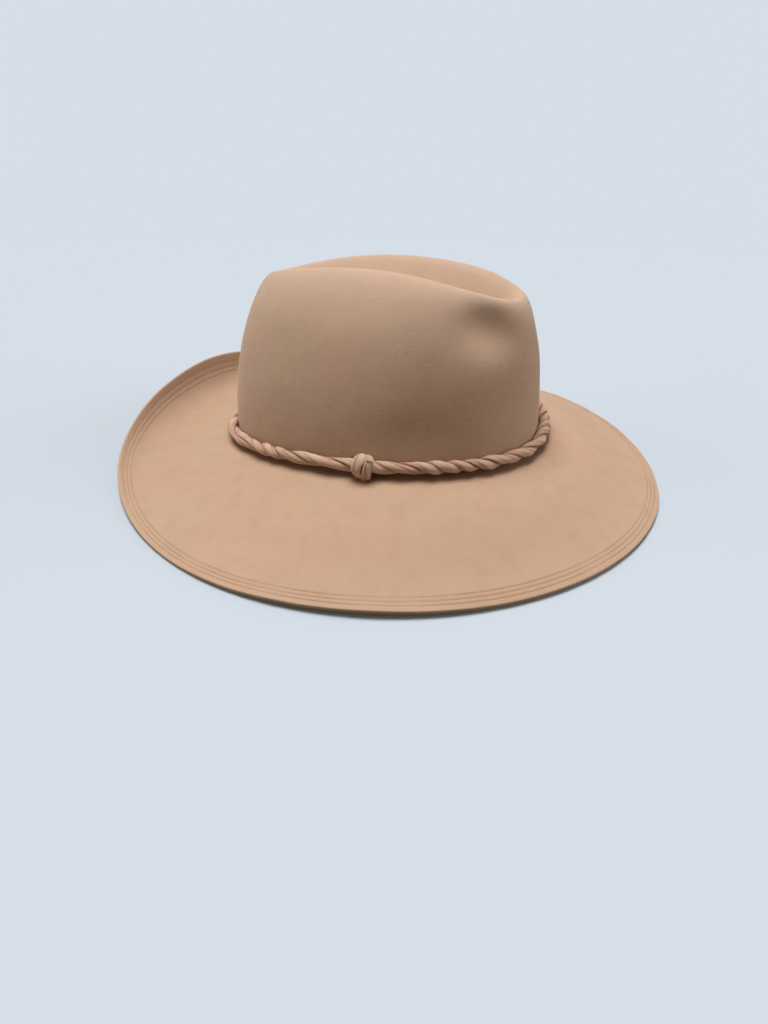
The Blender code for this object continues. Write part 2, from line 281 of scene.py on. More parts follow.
class HatColours(bpy.types.PropertyGroup):
    """Colours of the finishes."""

    felt: colour_setting("Felt", (0.50, 0.335, 0.225), "Main colour of the felt")
    felt_rosy: colour_setting("Felt Rosy", (0.515, 0.328, 0.226), "Warmer clouds in the felt")
    # Darker hairs of the felt, and also the painted shade in the stitch grooves and inside the
    # turned-up back.
    felt_dark_and_shade: colour_setting("Felt Dark", (0.36, 0.225, 0.145), "Darker hairs of the felt")
    # Lighter hairs and the cut edge, and also the painted light on the crown's top and the painted
    # highlight on the suede's ridges.
    felt_light_and_highlight: colour_setting("Felt Light", (0.66, 0.48, 0.36), "Lighter hairs and the cut edge")
    # Painted shadow on the felt under the band and the knot.
    felt_band_shadow: colour_setting("Felt Band Shadow", (0.17, 0.062, 0.014), "The felt under the band")
    suede: colour_setting("Suede", (0.55, 0.355, 0.235), "Main colour of the strip")
    suede_rosy: colour_setting("Suede Rosy", (0.53, 0.275, 0.205), "Pinkish places of the strip")
    # Painted shade in the strip's folds, and also its dark streaks and nap.
    suede_dark_and_fold_shade: colour_setting("Suede Crease", (0.12, 0.055, 0.03), "The strip deep in its folds")
    floor: colour_setting("Floor", (0.520, 0.575, 0.645), "Floor and backdrop")


class StageSizes(bpy.types.PropertyGroup):
    """Camera, floor and light."""

    azimuth: angle_setting(
        "Azimuth", -61.39, "Direction from which the camera looks, from the front")
    elevation: angle_setting("Elevation", 22.69, "Height of the camera as an angle")
    roll: angle_setting("Roll", 0.97, "Turn of the camera about its own line of sight")
    distance: size_setting("Distance", 0.39784, "From the camera to the hat's middle")
    aim_across: size_setting("Aim Across", 0.00916, "Place that the camera aims at, to its right")
    middle_along: size_setting("Middle Along", 0.01143, "Y of the hat's middle")
    middle_up: size_setting("Middle Up", 0.022, "Z of the hat's middle")
    aim_up: size_setting(
        "Aim Up", -0.01745, "Height of the place that the camera aims at, over the middle")
    focal_pixels: number_setting("Focal Length", 568.35, "Focal length in pixels of the picture")
    picture_height: count_setting("Picture Height", 1024, "Height of the picture in pixels", 1)
    centre_pixel: number_setting(
        "Centre Row", 435.0, "Row of the picture where the line of sight meets it")
    floor_radius: size_setting("Floor Radius", 1.5, "Radius of the flat floor")
    sweep_radius: size_setting("Sweep Radius", 1.2, "Radius of the curve from floor to backdrop")
    key_strength: number_setting("Key Strength", 3.2, "Strength of the light overhead")
    key_softness: angle_setting(
        "Key Softness", 32.0, "Angle across which the overhead light is spread")
    key_tilt: angle_setting("Key Tilt", 12.0, "Tilt of the overhead light from the zenith")
    key_bearing: angle_setting("Key Bearing", 160.0, "Bearing of the overhead light, from the front")
    left_fill: number_setting("Left Fill", 0.55, "Strength of the light at the camera's left")
    right_fill: number_setting("Right Fill", 0.95, "Strength of the light at the camera's right")
    fill_tilt: angle_setting("Fill Tilt", 72.0, "Tilt of the side lights from the zenith")
    sky: number_setting("Sky", 0.15, "Strength of the even light")
    sky_colour: colour_setting("Sky Colour", (1.0, 0.86, 0.66), "Colour of the even light")


def hermite(t, start, start_slope, end, end_slope):
    """A cubic from start to end with the given slopes, for t from 0 to 1."""
    rise = t * t * (3.0 - 2.0 * t)
    return (start * (1.0 - rise) + end * rise
            + start_slope * t * (1.0 - t) ** 2 - end_slope * t * t * (1.0 - t))


def read_table(rows, name, degrees):
    """A table's column at each angle, on a smooth curve that is the same on both sides."""
    knots = np.array([row.angle for row in rows], float)
    values = np.array([getattr(row, name) for row in rows], float)
    slopes = np.zeros(len(rows))
    slopes[1:-1] = (values[2:] - values[:-2]) / (knots[2:] - knots[:-2])
    degrees = np.abs((degrees + 180.0) % 360.0 - 180.0)
    left = np.clip(np.searchsorted(knots, degrees, side="right") - 1, 0, len(rows) - 2)
    span = knots[left + 1] - knots[left]
    t = (degrees - knots[left]) / span
    return hermite(t, values[left], slopes[left] * span, values[left + 1], slopes[left + 1] * span)


def oval(length, width, roundness, angles):
    """Plan points of a superellipse, from the front round by the wearer's left."""
    turn = np.radians(angles)
    across, along = np.sin(turn), -np.cos(turn)
    reach = (np.abs(across) ** roundness + np.abs(along) ** roundness) ** (-1.0 / roundness)
    return np.stack([across * reach * width / 2, along * reach * length / 2], axis=1)


def outward(plan):
    """Unit normals of a closed plan curve, pointing away from its middle."""
    along = np.roll(plan, -1, axis=0) - np.roll(plan, 1, axis=0)
    normal = np.stack([along[:, 1], -along[:, 0]], axis=1)
    return normal / np.linalg.norm(normal, axis=1)[:, None]


def rest(hat, plan, height):
    """Places points measured from the break line in the pose in which the hat rests."""
    lean, lift = math.cos(hat.rest_tilt), math.sin(hat.rest_tilt)
    height = np.broadcast_to(height, plan[:, 0].shape)
    along = plan[:, 1] * lean + height * lift
    up = hat.break_height - plan[:, 1] * lift + height * lean
    return np.stack([plan[:, 0], along, up], axis=1)


def break_line(hat, angles):
    """Plan, outward normals and height of the line where crown and brim would meet."""
    plan = oval(hat.head_length, hat.head_width, hat.head_roundness, angles)
    return plan, outward(plan), hat.break_sag * read_table(BREAK, "level", angles)


def brim_rows(hat, angles, distances, steps):
    """Rows from the brim's edge to the crown's foot: first at distances from the edge, then
    in equal steps."""
    plan, normal, level = break_line(hat, angles)
    foot = rest(hat, plan + normal * hat.break_radius, level)
    edge = oval(hat.brim_length, hat.brim_width, hat.brim_roundness, angles) + (0.0, hat.brim_shift)
    turned = angles + hat.brim_turn
    curl = read_table(BRIM, "curl", turned) * hat.back_rise
    top_of_edge = read_table(BRIM, "rise", turned) * hat.back_rise + hat.thickness - curl
    width = np.linalg.norm(edge - foot[:, :2], axis=1)
    slope_in = read_table(BRIM, "slope_in", turned) * width
    slope_out = read_table(BRIM, "slope_out", turned) * width
    outs = [1.0 - distance / width for distance in distances]
    outs += [outs[-1] * (1.0 - step / steps) for step in range(1, steps + 1)]
    rows = []
    for out in outs:
        flat = foot[:, :2] + (edge - foot[:, :2]) * out[:, None]
        height = hermite(out, foot[:, 2], slope_in, top_of_edge, slope_out)
        rows.append(np.column_stack([flat, height + curl * out ** hat.curl_shape]))
    return rows


def break_rows(hat, angles, steps):
    """Rows over the rounded corner between brim and crown."""
    plan, normal, level = break_line(hat, angles)
    rows = []
    for step in range(1, steps + 1):
        turn = step / steps * math.pi / 2
        out = hat.break_radius * (1.0 - math.sin(turn))
        up = hat.break_radius * (1.0 - math.cos(turn))
        rows.append(rest(hat, plan + normal * out, level + up))
    return rows


def dent_depth(hat, angles, share):
    """How far the crown's dents push its wall in, at a share of the rim's height."""
    depth = np.zeros(len(angles))
    girth = math.pi * (hat.head_length + hat.head_width) / 2
    for dent in DENTS:
        aside = ((angles - dent.angle + 180.0) % 360.0 - 180.0) / 360.0 * girth
        above = (share - dent.height) * hat.crown_height
        wide, tall = dent.width * hat.dent_size, dent.tall * hat.dent_size
        depth += dent.depth * hat.dent_depth * np.exp(-(aside / wide) ** 2 - (above / tall) ** 2)
    return depth


def top_oval(hat, angles):
    """Plan of the crown's wall at the top, narrower in front and shifted forward."""
    plan = oval(hat.top_length, hat.top_width, hat.top_roundness, angles)
    plan[:, 0] *= 1.0 - hat.front_pinch * np.cos(np.radians(angles))
    plan[:, 1] += hat.top_shift
    return plan


def wall_rows(hat, angles, steps):
    """Rows up the crown's wall to its rim."""
    foot, normal, level = break_line(hat, angles)
    top = top_oval(hat, angles)
    top_normal = outward(top)
    rim_height = read_table(CROWN, "height", angles) * hat.crown_height
    rounding = read_table(CROWN, "rounding", angles) * hat.rim_rounding
    start = level + hat.break_radius
    rows = []
    for step in range(1, steps + 1):
        turn = step / steps * math.pi / 2
        climbed = math.sin(turn) ** (2.0 / hat.rounding_shape)
        rounded = 1.0 - max(math.cos(turn), 0.0) ** (2.0 / hat.rounding_shape)
        leaning = climbed ** hat.lean_shape
        height = start + (rim_height - start) * climbed
        plan = foot * (1.0 - leaning) + top * leaning - top_normal * (rounding * rounded)[:, None]
        plan = plan - normal * dent_depth(hat, angles, height / rim_height)[:, None]
        rows.append(rest(hat, plan, height))
    return rows


def hollow_rows(hat, angles, steps):
    """Rows from the rim down into the crease, and the spine in which its two sides meet."""
    top = top_oval(hat, angles)
    rounding = read_table(CROWN, "rounding", angles) * hat.rim_rounding
    rim = top - outward(top) * rounding[:, None]
    rim_height = read_table(CROWN, "height", angles) * hat.crown_height
    along = hat.top_shift + hat.hollow_shift - hat.hollow_length / 2 * np.cos(np.radians(angles))
    spine = np.stack([np.zeros(len(angles)), along], axis=1)
    rows = []
    for step in range(1, steps + 1):
        share = step / steps
        plan = rim * (1.0 - share) + spine * share
        drop = hat.hollow_depth * share * share * (3.0 - 2.0 * share)
        rows.append(rest(hat, plan, rim_height - drop))
    return rows


def quads_between(low, high, sides):
    """Quads between two closed rings, each given by the number of its first point."""
    afters = [(side + 1) % sides for side in range(sides)]
    return [(low + side, low + after, high + after, high + side) for side, after in enumerate(afters)]


def turned_over(quads):
    """The same quads facing the other way."""
    return [(first, fourth, third, second) for first, second, third, fourth in quads]


def tube_faces(rings, sides):
    """Faces of a tube of rings, with its two ends closed."""
    faces = [tuple(reversed(range(sides)))]
    for ring in range(rings - 1):
        faces += quads_between(ring * sides, (ring + 1) * sides, sides)
    faces.append(tuple((rings - 1) * sides + side for side in range(sides)))
    return faces


def skin_faces(rows, spokes):
    """Faces of a sheet of rings whose last ring is a spine that both sides share."""
    faces = []
    for row in range(rows - 2):
        faces += quads_between(row * spokes, (row + 1) * spokes, spokes)
    last, spine = (rows - 2) * spokes, (rows - 1) * spokes
    for spoke in range(spokes):
        after = (spoke + 1) % spokes
        high = [spine + min(k, spokes - 1 - k) for k in (after, spoke)]
        faces.append((last + spoke, last + after, *(high if high[0] != high[1] else high[:1])))
    return faces


def sheet_normals(points, faces):
    """Unit normals at the points of a sheet."""
    mesh = bpy.data.meshes.new("sheet")
    mesh.from_pydata(points, [], faces)
    normals = np.zeros(len(points) * 3, np.float32)
    mesh.vertex_normals.foreach_get("vector", normals)
    bpy.data.meshes.remove(mesh)
    return normals.reshape(-1, 3).astype(float)


def uneven(points, size, offset):
    """Smooth noise from -1 to 1 at each point, with bumps of a given size."""
    return np.array([noise.noise(Vector(p) / size + Vector((offset, 0.0, 0.0))) for p in points])


def rising(values, span):
    """From 0 where the values are 0 or less to 1 where they reach the span."""
    return np.clip(values / span, 0.0, 1.0)


def groove_profile(stitch, distance):
    """How strongly a place at a distance from the brim's edge is pulled in by the stitching."""
    pull = np.zeros_like(distance)
    for row in range(stitch.rows):
        away = (distance - stitch.inset - row * stitch.spacing) / stitch.groove_width
        pull = np.maximum(pull, np.exp(-away * away))
    return pull


def add_mesh(name, points, faces, finish, attributes=None):
    """A smooth-shaded mesh object at the origin, with values stored on its points."""
    mesh = bpy.data.meshes.new(name)
    mesh.from_pydata([tuple(p) for p in points], [], faces)
    mesh.validate()
    mesh.shade_smooth()
    for key, values in (attributes or {}).items():
        kind = "FLOAT_VECTOR" if np.ndim(values) == 2 else "FLOAT"
        stored = mesh.attributes.new(key, kind, "POINT")
        stored.data.foreach_set("vector" if kind == "FLOAT_VECTOR" else "value",
                                np.ravel(values).astype(np.float32))
    mesh.materials.append(finish)
    thing = bpy.data.objects.new(name, mesh)
    bpy.context.scene.collection.objects.link(thing)
    return thing


def add_node(tree, kind, settings=None, sockets=None):
    """Adds a node to a tree: its settings first, then the values or links of its sockets."""
    made = tree.nodes.new(kind)
    for key, value in (settings or {}).items():
        setattr(made, key, value)
    for key, value in (sockets or {}).items():
        value = value.socket if isinstance(value, Link) else value
        if isinstance(value, bpy.types.NodeSocket):
            tree.links.new(value, made.inputs[key])
        else:
            made.inputs[key].default_value = value
    return made


class Link:
    """A value in a material. Sums, differences and products add the Math nodes they need."""

    def __init__(self, finish, socket):
        self.finish = finish
        self.socket = socket

    def math(self, operation, *values):
        return self.finish.node("ShaderNodeMath", {"operation": operation},
                                dict(enumerate(values)))

    def __add__(self, other):
        return self.math("ADD", self, other)

    def __sub__(self, other):
        return self.math("SUBTRACT", self, other)

    def __rsub__(self, other):
        return self.math("SUBTRACT", other, self)

    def __mul__(self, other):
        return self.math("MULTIPLY", self, other)

    __radd__ = __add__
    __rmul__ = __mul__

    def between(self, low, high):
        """0 below low and 1 above high, with a smooth step from one to the other."""
        return self.finish.node("ShaderNodeMapRange", {"interpolation_type": "SMOOTHSTEP"},
                                {"Value": self, "From Min": low, "From Max": high})


class Finish:
    """A material in the making."""

    def __init__(self, name):
        self.material = bpy.data.materials.new(name)
        self.material.use_nodes = True
        self.tree = self.material.node_tree
        self.tree.nodes.clear()

    def node(self, kind, settings=None, sockets=None, output=0):
        """Adds a node to the material and gives back the link of one of its outputs."""
        made = add_node(self.tree, kind, settings, sockets)
        return Link(self, made.outputs[output]) if made.outputs else None

    def place(self):
        """Places on the object, in its own metres."""
        return self.node("ShaderNodeTexCoord", output="Object")

    def stored(self, name, output="Fac"):
        """A value stored on the mesh's points."""
        return self.node("ShaderNodeAttribute", {"attribute_name": name}, output=output)

    def stretched(self, place, scale):
        """The same places with each axis scaled by its own amount."""
        return self.node("ShaderNodeMapping", sockets={"Vector": place, "Scale": scale})

    def clouds(self, place, size, detail=2.0, roughness=0.5, distortion=0.0):
        """Noise from 0 to 1 whose features have a given size in metres."""
        return self.node("ShaderNodeTexNoise", sockets={
            "Vector": place, "Scale": 1.0 / size, "Detail": detail,
            "Roughness": roughness, "Distortion": distortion})

    def mix(self, share, first, second):
        """A colour between two colours."""
        first, second = ((*c, 1.0) if isinstance(c, tuple) else c for c in (first, second))
        return self.node("ShaderNodeMix", {"data_type": "RGBA"},
                         {0: share, 6: first, 7: second}, output=2)

    def laid_over(self, tone, layers):
        """A colour with other colours laid over it in turn, each by its own share."""
        for share, colour in layers:
            tone = self.mix(share, tone, colour)
        return tone

    def bump(self, height, distance, strength=1.0):
        """A normal turned by a height map whose full height is a distance in metres."""
        return self.node("ShaderNodeBump", sockets={
            "Height": height, "Distance": distance, "Strength": strength})

    def ended_in(self, kind, sockets):
        """The finished material, with one shader as its surface."""
        self.node("ShaderNodeOutputMaterial", sockets={"Surface": self.node(kind, sockets=sockets)})
        return self.material


def felt_finish(colours):
    """Short-napped fur felt: soft clouds of tone, fine hairs lying round the crown, flecks, painted
    light on the crown's top, painted shade in the stitch grooves and inside the turned-up back, and
    painted shadow under the band and the knot.
    """
    make = Finish("napped_felt")
    place = make.place()
    wall, groove, edge, band_shadow_share, turned_up = (make.stored(name) for name in (
        "wall", "groove", "cut_edge", "band_shadow_share", "turned_up"))
    felt, rosy, dark_and_shade, light, band_shadow = (tuple(colour) for colour in (
        colours.felt, colours.felt_rosy, colours.felt_dark_and_shade, colours.felt_light_and_highlight,
        colours.felt_band_shadow))
    height = make.node("ShaderNodeSeparateXYZ", sockets={"Vector": place}, output="Z")

    broad = make.clouds(place, 0.060, 2.0)
    mottled = make.clouds(place, 0.012, 4.0, 0.6)
    grain = make.clouds(place, 0.0012, 3.0, 0.7)
    hairs = make.clouds(make.stretched(place, (1.0, 1.0, 5.0)), 0.0026, 3.0, 0.60, 0.3)
    flecks = make.clouds(make.stretched(place, (1.0, 1.0, 3.0)), 0.0042, 2.0)
    patches = make.clouds(place, 0.045, 2.0)
    cells = make.node("ShaderNodeTexVoronoi", sockets={"Vector": place, "Scale": 1.0 / 0.022})
    specks = (1.0 - cells.between(0.012, 0.030)) * (1.0 - wall)
    # Painted light on the crown's top.
    painted_top_light = height.between(0.088, 0.114)
    tone = make.laid_over(felt, (
        (broad.between(0.35, 0.68), rosy),
        (mottled.between(0.42, 0.75) * 0.22, dark_and_shade),
        (grain.between(0.50, 0.85) * 0.22, dark_and_shade),
        (hairs.between(0.56, 0.80) * wall * 0.24, dark_and_shade),
        (flecks.between(0.61, 0.74) * wall * 0.36, light),
        ((1.0 - flecks.between(0.27, 0.39)) * wall * 0.42, dark_and_shade),
        (specks * 0.45, dark_and_shade),
        (painted_top_light * 0.38, light),
        (wall * 0.16, light),
        # Painted shade inside the turned-up back of the brim.
        (turned_up * 0.75, dark_and_shade),
        # Painted shade in the stitch grooves, patchy, and fainter inside the turned-up back.
        (groove * (patches.between(0.40, 0.62) * 0.65) * (1.0 - turned_up * 0.75), dark_and_shade),
        # Painted shadow under the band and the knot.
        (band_shadow_share * 0.75, band_shadow),
        (edge * 0.55, light),
    ))
    nap = hairs * (wall * 0.5 + 0.20) + grain * 0.30 + mottled * 0.35
    return make.ended_in("ShaderNodeBsdfPrincipled", {
        "Base Color": tone, "Roughness": 0.93, "Normal": make.bump(nap, 0.00028, 0.60),
        "Specular IOR Level": 0.18, "Sheen Weight": 0.22, "Sheen Roughness": 0.55,
        "Sheen Tint": (0.95, 0.82, 0.70, 1.0)})


def thread_finish(colours):
    """Cotton thread in the felt's own colour."""
    make = Finish("sewing_thread")
    fibres = make.clouds(make.place(), 0.0004, 2.0)
    tone = make.mix(fibres.between(0.35, 0.70) * 0.45, tuple(colours.felt), tuple(colours.felt_dark_and_shade))
    return make.ended_in("ShaderNodeBsdfPrincipled", {
        "Base Color": tone, "Roughness": 0.80, "Normal": make.bump(fibres, 0.00008)})


def suede_finish(colours):
    """Suede that is rosy in places, with a painted highlight on its ridges and painted shade in its
    folds.
    """
    make = Finish("twisted_suede")
    strip = make.stored("strip_place", "Vector")
    fold, painted_highlight = make.stored("fold"), make.stored("painted_highlight")
    suede, rosy, deep, light = (tuple(colour) for colour in (
        colours.suede, colours.suede_rosy, colours.suede_dark_and_fold_shade, colours.felt_light_and_highlight))

    patches = make.clouds(make.stretched(strip, (0.35, 1.0, 1.0)), 0.0045, 2.0)
    nap = make.clouds(strip, 0.0006, 3.0, 0.7)
    streaks = make.clouds(make.stretched(strip, (0.18, 1.0, 1.0)), 0.0011, 2.0, 0.6)
    tone = make.laid_over(suede, (
        (patches.between(0.46, 0.66), rosy),
        (streaks.between(0.48, 0.80) * 0.30, deep),
        # Painted highlight on the strip's ridges.
        (painted_highlight * 0.60, light),
        (nap.between(0.50, 0.85) * 0.22, deep),
        # Painted shade in and beside the folds.
        (fold, deep),
    ))
    normal = make.bump(streaks * 0.7 + nap * 0.5, 0.00030, 0.8)
    return make.ended_in("ShaderNodeBsdfPrincipled", {
        "Base Color": tone, "Roughness": 0.86, "Normal": normal, "Specular IOR Level": 0.25,
        "Sheen Weight": 0.18, "Sheen Roughness": 0.5, "Sheen Tint": (0.95, 0.80, 0.70, 1.0)})


def finish_named(name, maker):
    """A finish made once and shared by the pieces that have it."""
    return bpy.data.materials.get(name) or maker(bpy.context.scene.hat_colours)


class CrownAndBrim(bpy.types.Operator):
    """Models the felt: crown, brim, creased top, dents and the sewn edge, in one piece."""

    bl_idname = "hat.crown_and_brim"
    bl_label = "Crown and Brim"

    def execute(self, context):
        hat, stitch = context.scene.hat_shape, context.scene.hat_stitches
        points, normals, faces, sewn = felt_sheet(hat, stitch)
        outer, inner = felt_sides(hat, stitch, points, normals, sewn)
        count, spokes = len(points), hat.spokes
        inner_faces = [tuple(count + k for k in reversed(face)) for face in faces]
        edge_faces = [((k + 1) % spokes, k, count + k, count + (k + 1) % spokes)
                      for k in range(spokes)]
        wall = (sewn["row"] > sewn["brim_rows"]).astype(float)
        groove = groove_profile(stitch, sewn["distance"])
        edge = missing_corner(hat, sewn["distance"])
        # The stored shares below the band and up the turned-up back set painted shadow and shade in
        # the felt's colour.
        piece = add_mesh(
            "crown_and_brim", np.vstack([outer, inner]), faces + inner_faces + edge_faces,
            finish_named("napped_felt", felt_finish),
            {"wall": np.tile(wall, 2), "groove": np.tile(groove, 2), "cut_edge": np.tile(edge, 2),
             "band_shadow_share": np.concatenate([band_shadow_share(context, outer), np.zeros(count)]),
             "turned_up": np.tile(turned_up(hat, outer) * (1.0 - wall), 2)})
        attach(piece, "root")
        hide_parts("felt_body")
        return {"FINISHED"}


def turned_up(hat, points):
    """From 0 to 1, how far up each point of the brim's turned-up back lies, for the painted shade
    there.
    """
    top = hat.back_rise + hat.thickness
    out = np.hypot(points[:, 0] / hat.brim_width, points[:, 1] / hat.brim_length) * 2.0
    lowest, height, innermost, width = 0.22, 0.5, 0.72, 0.2
    return rising(points[:, 2] / top - lowest, height) * rising(out - innermost, width)


def band_shadow_share(context, points):
    """From 0 to 1, how closely each point of the felt lies below the band or the knot, for the
    painted shadow there.
    """
    hat, band, knot = context.scene.hat_shape, context.scene.hat_band, context.scene.hat_knot
    band_reach, band_fade, knot_reach, knot_fade = 2.75, 1.1, 1.85, 0.65
    path = band_path(hat, band, np.arange(0.0, 360.0, 1.0))
    around = np.degrees(np.arctan2(points[:, 0], -points[:, 1])) % 360.0
    bearing = np.degrees(np.arctan2(path[:, 0], -path[:, 1])) % 360.0
    order = np.argsort(bearing)
    near = np.stack([np.interp(around, bearing[order], path[order, k], period=360.0)
                     for k in range(3)], axis=1)
    away = np.linalg.norm(points - near, axis=1) / band.radius
    below_band = rising(band_reach - away, band_fade) ** 1.5
    below_band *= rising(near[:, 2] - points[:, 2], band.radius)
    middle = path_frame(hat, band, knot_angle()).translation
    from_knot = np.linalg.norm(points - np.array(middle), axis=1) / (knot.height / 2)
    below_knot = rising(knot_reach - from_knot, knot_fade)
    below_knot *= rising(middle.z - points[:, 2], band.radius)
    return np.maximum(below_band, below_knot)


def edge_distances(stitch):
    """Distances from the edge of the rows of points over its rounding and the sewn border."""
    border = stitch.inset + stitch.rows * stitch.spacing
    pitch = stitch.groove_width * 0.6
    return [*EDGE_ROWS, *np.arange(EDGE_ROWS[-1] + pitch, border + pitch, pitch)]


def felt_sheet(hat, stitch):
    """Points, normals and faces of the felt's outer side, before its edge is rounded and
    sewn, with each point's row and its distance from the brim's edge."""
    angles = (np.arange(hat.spokes) + 0.5) * 360.0 / hat.spokes
    distances = edge_distances(stitch)
    rows = brim_rows(hat, angles, distances, BRIM_STEPS)
    brim_count = len(rows)
    rows += break_rows(hat, angles, BREAK_STEPS) + wall_rows(hat, angles, WALL_STEPS)
    rows += hollow_rows(hat, angles, HOLLOW_STEPS)
    row_of = np.repeat(np.arange(len(rows)), hat.spokes)
    far = distances[-1] * 2.0
    distance = np.repeat(distances + [far] * (len(rows) - len(distances)), hat.spokes)
    points = np.vstack(rows)
    # In the last row, the spine, each point serves both sides, so half of its points are kept.
    keep = (len(rows) - 1) * hat.spokes + hat.spokes // 2
    points, row_of, distance = points[:keep], row_of[:keep], distance[:keep]
    faces = skin_faces(len(rows), hat.spokes)
    normals = sheet_normals(points, faces)
    swell = sum(uneven(points, row.size, row.shift) * row.share for row in FELT_SWELLS)
    points = points + normals * (swell * hat.waviness)[:, None]
    return points, normals, faces, {"row": row_of, "distance": distance, "brim_rows": brim_count}


def missing_corner(hat, distance):
    """From 1 at the brim's edge to 0 where the edge's rounding ends."""
    return np.clip(1.0 - distance / (hat.thickness / 4), 0.0, 1.0)


def felt_sides(hat, stitch, points, normals, sewn):
    """The felt's outer and inner side, pulled in along the stitching and rounded at the edge."""
    distance = sewn["distance"]
    pull = groove_profile(stitch, distance) * stitch.groove_depth
    border = stitch.inset + stitch.rows * stitch.spacing
    puffed = rising(border - distance, stitch.spacing) * stitch.groove_depth * 0.35
    rounded = hat.thickness / 4 * (1.0 - np.sqrt(1.0 - missing_corner(hat, distance) ** 2))
    sink = pull + rounded - puffed
    outer = points - normals * sink[:, None]
    inner = points - normals * (hat.thickness - sink)[:, None]
    inner[:, 2] = np.maximum(inner[:, 2], 0.0)
    outer[:, 2] = np.maximum(outer[:, 2], hat.thickness * 0.5)
    return outer, inner


def stitch_tree(finish):
    """Geometry Nodes that lay one stitch after another along the lines they are given."""
    tree = bpy.data.node_groups.new("stitches_along_lines", "GeometryNodeTree")
    tree.interface.new_socket("Lines", in_out="INPUT", socket_type="NodeSocketGeometry")
    for name in ("Pitch", "Stitch Length", "Thread"):
        tree.interface.new_socket(name, in_out="INPUT", socket_type="NodeSocketFloat")
    tree.interface.new_socket("Stitches", in_out="OUTPUT", socket_type="NodeSocketGeometry")
    given = tree.nodes.new("NodeGroupInput").outputs

    def add(kind, settings=None, sockets=None):
        return add_node(tree, kind, settings, sockets).outputs[0]

    lines = add("GeometryNodeMeshToCurve", sockets={"Mesh": given["Lines"]})
    even = add("GeometryNodeResampleCurve", {"mode": "LENGTH"},
               {"Curve": lines, "Length": given["Pitch"]})
    bead = add("GeometryNodeMeshUVSphere", sockets={"Segments": 6, "Rings": 4, "Radius": 0.5})
    size = add("ShaderNodeCombineXYZ", sockets={
        "X": given["Stitch Length"], "Y": given["Thread"], "Z": given["Thread"]})
    shaped = add("GeometryNodeTransform", sockets={"Geometry": bead, "Scale": size})
    turned = add("FunctionNodeAlignRotationToVector", {"axis": "X"},
                 {"Vector": add("GeometryNodeInputTangent")})
    out = add("GeometryNodeInputNamedAttribute", {"data_type": "FLOAT_VECTOR"}, {"Name": "out"})
    upright = add("FunctionNodeAlignRotationToVector", {"axis": "Z", "pivot_axis": "X"},
                  {"Rotation": turned, "Vector": out})
    smallest, largest = (0.80, 0.85, 0.8), (1.12, 1.15, 1.1)
    uneven_size = add("FunctionNodeRandomValue", {"data_type": "FLOAT_VECTOR"},
                      {0: smallest, 1: largest, "Seed": 7})
    laid = add("GeometryNodeInstanceOnPoints", sockets={
        "Points": even, "Instance": shaped, "Rotation": upright, "Scale": uneven_size})
    real = add("GeometryNodeRealizeInstances", sockets={"Geometry": laid})
    smooth = add("GeometryNodeSetShadeSmooth", sockets={"Geometry": real})
    dressed = add("GeometryNodeSetMaterial", sockets={"Geometry": smooth, "Material": finish})
    add_node(tree, "NodeGroupOutput", sockets={0: dressed})
    return tree


def run_tree(name, source, tree, values):
    """The plain mesh that a Geometry Nodes tree makes from an object, as a new object."""
    modifier = source.modifiers.new("nodes", "NODES")
    modifier.node_group = tree
    for item in tree.interface.items_tree:
        if item.in_out == "INPUT" and item.name in values:
            modifier[item.identifier] = values[item.name]
    graph = bpy.context.evaluated_depsgraph_get()
    mesh = bpy.data.meshes.new_from_object(source.evaluated_get(graph), depsgraph=graph)
    mesh.name = name
    bpy.data.objects.remove(source, do_unlink=True)
    made = bpy.data.objects.new(name, mesh)
    bpy.context.scene.collection.objects.link(made)
    return made


def row_at(sewn, distance):
    """Number of the row of points nearest to a distance from the brim's edge."""
    return int(sewn["row"][np.argmin(np.abs(sewn["distance"] - distance))])


class BrimStitches(bpy.types.Operator):
    """Sews the rows of stitches near the brim's edge, on its top and on its underside."""

    bl_idname = "hat.brim_stitches"
    bl_label = "Brim Stitches"

    def execute(self, context):
        hat, stitch = context.scene.hat_shape, context.scene.hat_stitches
        points, normals, _, sewn = felt_sheet(hat, stitch)
        outer, inner = felt_sides(hat, stitch, points, normals, sewn)
        line_points, line_out, edges = [], [], []
        for row in range(stitch.rows):
            first = row_at(sewn, stitch.inset + row * stitch.spacing) * hat.spokes
            ring = slice(first, first + hat.spokes)
            for side, out in ((outer[ring], normals[ring]), (inner[ring], -normals[ring])):
                start = len(line_points)
                line_points += [tuple(p) for p in side + out * stitch.thread * 0.25]
                line_out += [tuple(n) for n in out]
                edges += [(start + k, start + (k + 1) % hat.spokes) for k in range(hat.spokes)]
        mesh = bpy.data.meshes.new("stitch_lines")
        mesh.from_pydata(line_points, edges, [])
        stored = mesh.attributes.new("out", "FLOAT_VECTOR", "POINT")
        stored.data.foreach_set("vector", np.ravel(line_out))
        lines = bpy.data.objects.new("stitch_lines", mesh)
        context.scene.collection.objects.link(lines)
        tree = stitch_tree(finish_named("sewing_thread", thread_finish))
        piece = run_tree("brim_stitches", lines, tree, {
            "Pitch": stitch.pitch, "Stitch Length": stitch.length, "Thread": stitch.thread})
        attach(piece, "root")
        return {"FINISHED"}


def band_offset(hat, band):
    """Distance of the band's centre line from the crown's wall, clear of the rounded break."""
    beside_wall = band.radius + band.gap
    below_centre = max(hat.break_radius - band.height, 0.0)
    reach = hat.break_radius - band.gap - band.radius
    if reach <= below_centre:
        return max(beside_wall, hat.break_radius)
    return max(beside_wall, hat.break_radius - math.sqrt(reach ** 2 - below_centre ** 2))


